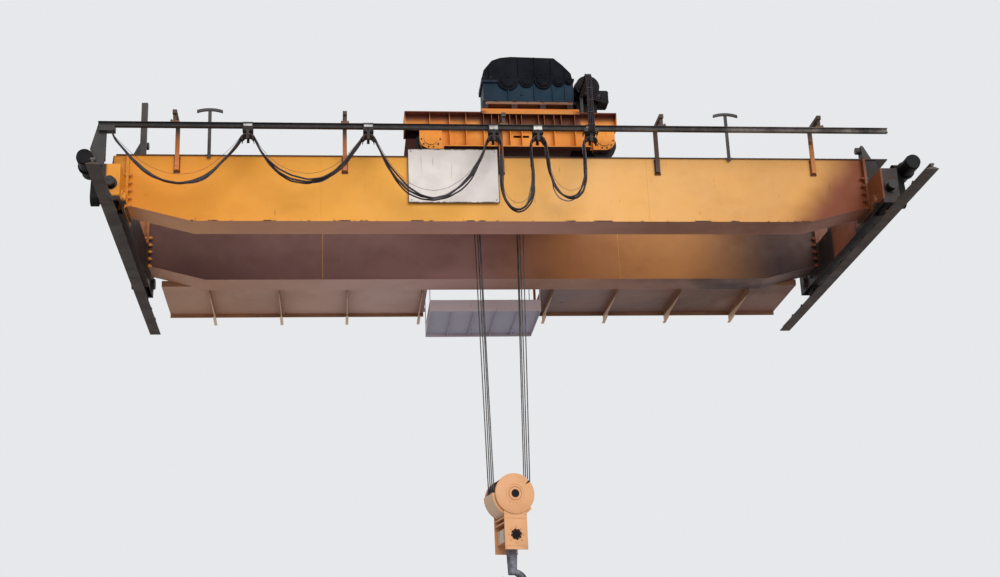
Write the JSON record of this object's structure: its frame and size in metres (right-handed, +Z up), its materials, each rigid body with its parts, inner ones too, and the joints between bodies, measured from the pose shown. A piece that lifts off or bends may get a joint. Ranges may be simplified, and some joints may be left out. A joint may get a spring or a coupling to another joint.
{
  "type": "overhead bridge crane",
  "caption": "Double-girder overhead bridge crane with a wheeled hoist crab, rope drum, hook block, rear walkway and a cable festoon, on short lengths of runway rail.",
  "frame": {"origin": "on the underside of the left runway rail, on its centre line and level with the front girder's front web", "axes": "+X along the girders to the right rail, +Y across them from the festoon side to the walkway side, +Z up"},
  "size_m": [12.408, 7.4, 8.1294],
  "materials": {
    "board_paint": "matte",
    "buffer_rubber": "matte",
    "cable_rubber": "matte",
    "crab_paint": "satin",
    "dark_paint": "satin",
    "gear_lower_paint": "satin",
    "gear_upper_paint": "satin",
    "girder_paint": "satin",
    "hook_steel": "worn",
    "motor_paint": "satin",
    "rail_steel": "worn",
    "rope_steel": "greased",
    "wheel_steel": "worn",
    "zinc": "satin"
  },
  "bodies": {
    "runway": {"runway_rail_left": "rail_steel", "runway_rail_right": "rail_steel"},
    "bridge": {"front_girder_webs": "girder_paint", "front_girder_deck": "girder_paint", "front_girder_bottom": "girder_paint", "rear_girder_webs": "girder_paint", "rear_girder_deck": "girder_paint", "rear_girder_bottom": "girder_paint", "end_carriage_left": "crab_paint", "end_carriage_right": "crab_paint", "wheel_bearing_housings": "crab_paint", "crab_rails": "rail_steel", "rail_end_stops": "dark_paint", "carriage_buffers": "buffer_rubber", "walkway_deck": "girder_paint", "walkway_brackets": "girder_paint", "walkway_handrail": "girder_paint", "service_platform": "girder_paint", "festoon_track": "dark_paint", "festoon_posts": "girder_paint", "deck_t_posts": "dark_paint", "cable_anchor": "dark_paint", "sign_board": "board_paint", "travel_drive_left": "motor_paint", "travel_drive_right": "motor_paint", "cable_loop_1": "cable_rubber"},
    "wheel_front_left": {"bridge_wheel_front_left": "wheel_steel"},
    "wheel_rear_left": {"bridge_wheel_rear_left": "wheel_steel"},
    "wheel_front_right": {"bridge_wheel_front_right": "wheel_steel"},
    "wheel_rear_right": {"bridge_wheel_rear_right": "wheel_steel"},
    "crab": {"crab_frame_front": "crab_paint", "crab_frame_rear": "crab_paint", "crab_cross_frame": "crab_paint", "crab_axle_boxes": "crab_paint", "gearbox_seat": "crab_paint", "gearbox_lower_case": "gear_lower_paint", "gearbox_upper_case": "gear_upper_paint", "hoist_motor": "motor_paint", "hoist_brake": "dark_paint", "drum_pedestal": "gear_lower_paint", "top_sheaves": "wheel_steel", "cable_tow_arm": "crab_paint", "hoist_ropes": "rope_steel"},
    "crab_axle_left": {"crab_wheels_left": "wheel_steel"},
    "crab_axle_right": {"crab_wheels_right": "wheel_steel"},
    "drum": {"rope_drum": "wheel_steel"},
    "hook_block": {"block_cheeks": "crab_paint", "block_sheaves": "wheel_steel"},
    "hook": {"lifting_hook": "hook_steel"},
    "carriage_1": {"festoon_carriage_1": "zinc", "cable_loop_2": "cable_rubber"},
    "carriage_2": {"festoon_carriage_2": "zinc", "cable_loop_3": "cable_rubber"},
    "carriage_3": {"festoon_carriage_3": "zinc", "cable_loop_4": "cable_rubber"},
    "carriage_4": {"festoon_carriage_4": "zinc", "cable_loop_5": "cable_rubber"},
    "tow_clamp": {"festoon_tow_clamp": "zinc"}
  },
  "joints": [
    {"name": "long_travel", "type": "slide", "parent": "runway", "child": "bridge", "axis": [0, 1, 0], "range_m": [-1, 1]},
    {"name": "turn_front_left", "type": "hinge", "parent": "bridge", "child": "wheel_front_left", "pos_m": [0, -0.33, 0.2903], "axis": [1, 0, 0], "continuous": true},
    {"name": "turn_rear_left", "type": "hinge", "parent": "bridge", "child": "wheel_rear_left", "pos_m": [0, 3.36, 0.2903], "axis": [1, 0, 0], "continuous": true},
    {"name": "turn_front_right", "type": "hinge", "parent": "bridge", "child": "wheel_front_right", "pos_m": [11.4, -0.33, 0.2903], "axis": [1, 0, 0], "continuous": true},
    {"name": "turn_rear_right", "type": "hinge", "parent": "bridge", "child": "wheel_rear_right", "pos_m": [11.4, 3.36, 0.2903], "axis": [1, 0, 0], "continuous": true},
    {"name": "cross_travel", "type": "slide", "parent": "bridge", "child": "crab", "axis": [1, 0, 0], "range_m": [-3.5, 3.3]},
    {"name": "turn_crab_left", "type": "hinge", "parent": "crab", "child": "crab_axle_left", "pos_m": [4.59, 1.515, 1.4203], "axis": [0, 1, 0], "continuous": true},
    {"name": "turn_crab_right", "type": "hinge", "parent": "crab", "child": "crab_axle_right", "pos_m": [7.23, 1.515, 1.4203], "axis": [0, 1, 0], "continuous": true},
    {"name": "hoist", "type": "slide", "parent": "crab", "child": "hook_block", "axis": [0, 0, 1], "range_m": [-6, 3.4], "deforming": ["hoist_ropes"]},
    {"name": "turn_drum", "type": "hinge", "parent": "crab", "child": "drum", "pos_m": [5.81, 1.515, 2.46], "axis": [0, 1, 0], "continuous": true},
    {"name": "hook_swivel", "type": "hinge", "parent": "hook_block", "child": "hook", "pos_m": [5.72, 1.41, -4.4], "axis": [0, 0, 1], "continuous": true},
    {"name": "glide_1", "type": "slide", "parent": "bridge", "child": "carriage_1", "axis": [1, 0, 0], "range_m": [-1.052, 0.992], "deforming": ["cable_loop_1"]},
    {"name": "glide_2", "type": "slide", "parent": "carriage_1", "child": "carriage_2", "axis": [1, 0, 0], "range_m": [-0.947, 0.893], "deforming": ["cable_loop_2"]},
    {"name": "glide_3", "type": "slide", "parent": "carriage_2", "child": "carriage_3", "axis": [1, 0, 0], "range_m": [-0.947, 0.893], "deforming": ["cable_loop_3"]},
    {"name": "glide_4", "type": "slide", "parent": "carriage_3", "child": "carriage_4", "axis": [1, 0, 0], "range_m": [-0.247, 0.233], "deforming": ["cable_loop_4"]},
    {"name": "glide_tow", "type": "slide", "parent": "carriage_4", "child": "tow_clamp", "axis": [1, 0, 0], "range_m": [-0.317, 0.299], "deforming": ["cable_loop_5"]}
  ],
  "couplings": [
    {"joint": "turn_front_left", "follows": "long_travel", "rad_per_m": -5},
    {"joint": "turn_rear_left", "follows": "long_travel", "rad_per_m": -5},
    {"joint": "turn_front_right", "follows": "long_travel", "rad_per_m": -5},
    {"joint": "turn_rear_right", "follows": "long_travel", "rad_per_m": -5},
    {"joint": "turn_crab_left", "follows": "cross_travel", "rad_per_m": 5},
    {"joint": "turn_crab_right", "follows": "cross_travel", "rad_per_m": 5},
    {"joint": "turn_drum", "follows": "hoist", "rad_per_m": 12.945},
    {"joint": "glide_1", "follows": "cross_travel", "ratio": 0.3},
    {"joint": "glide_2", "follows": "cross_travel", "ratio": 0.27},
    {"joint": "glide_3", "follows": "cross_travel", "ratio": 0.27},
    {"joint": "glide_4", "follows": "cross_travel", "ratio": 0.07},
    {"joint": "glide_tow", "follows": "cross_travel", "ratio": 0.09}
  ]
}
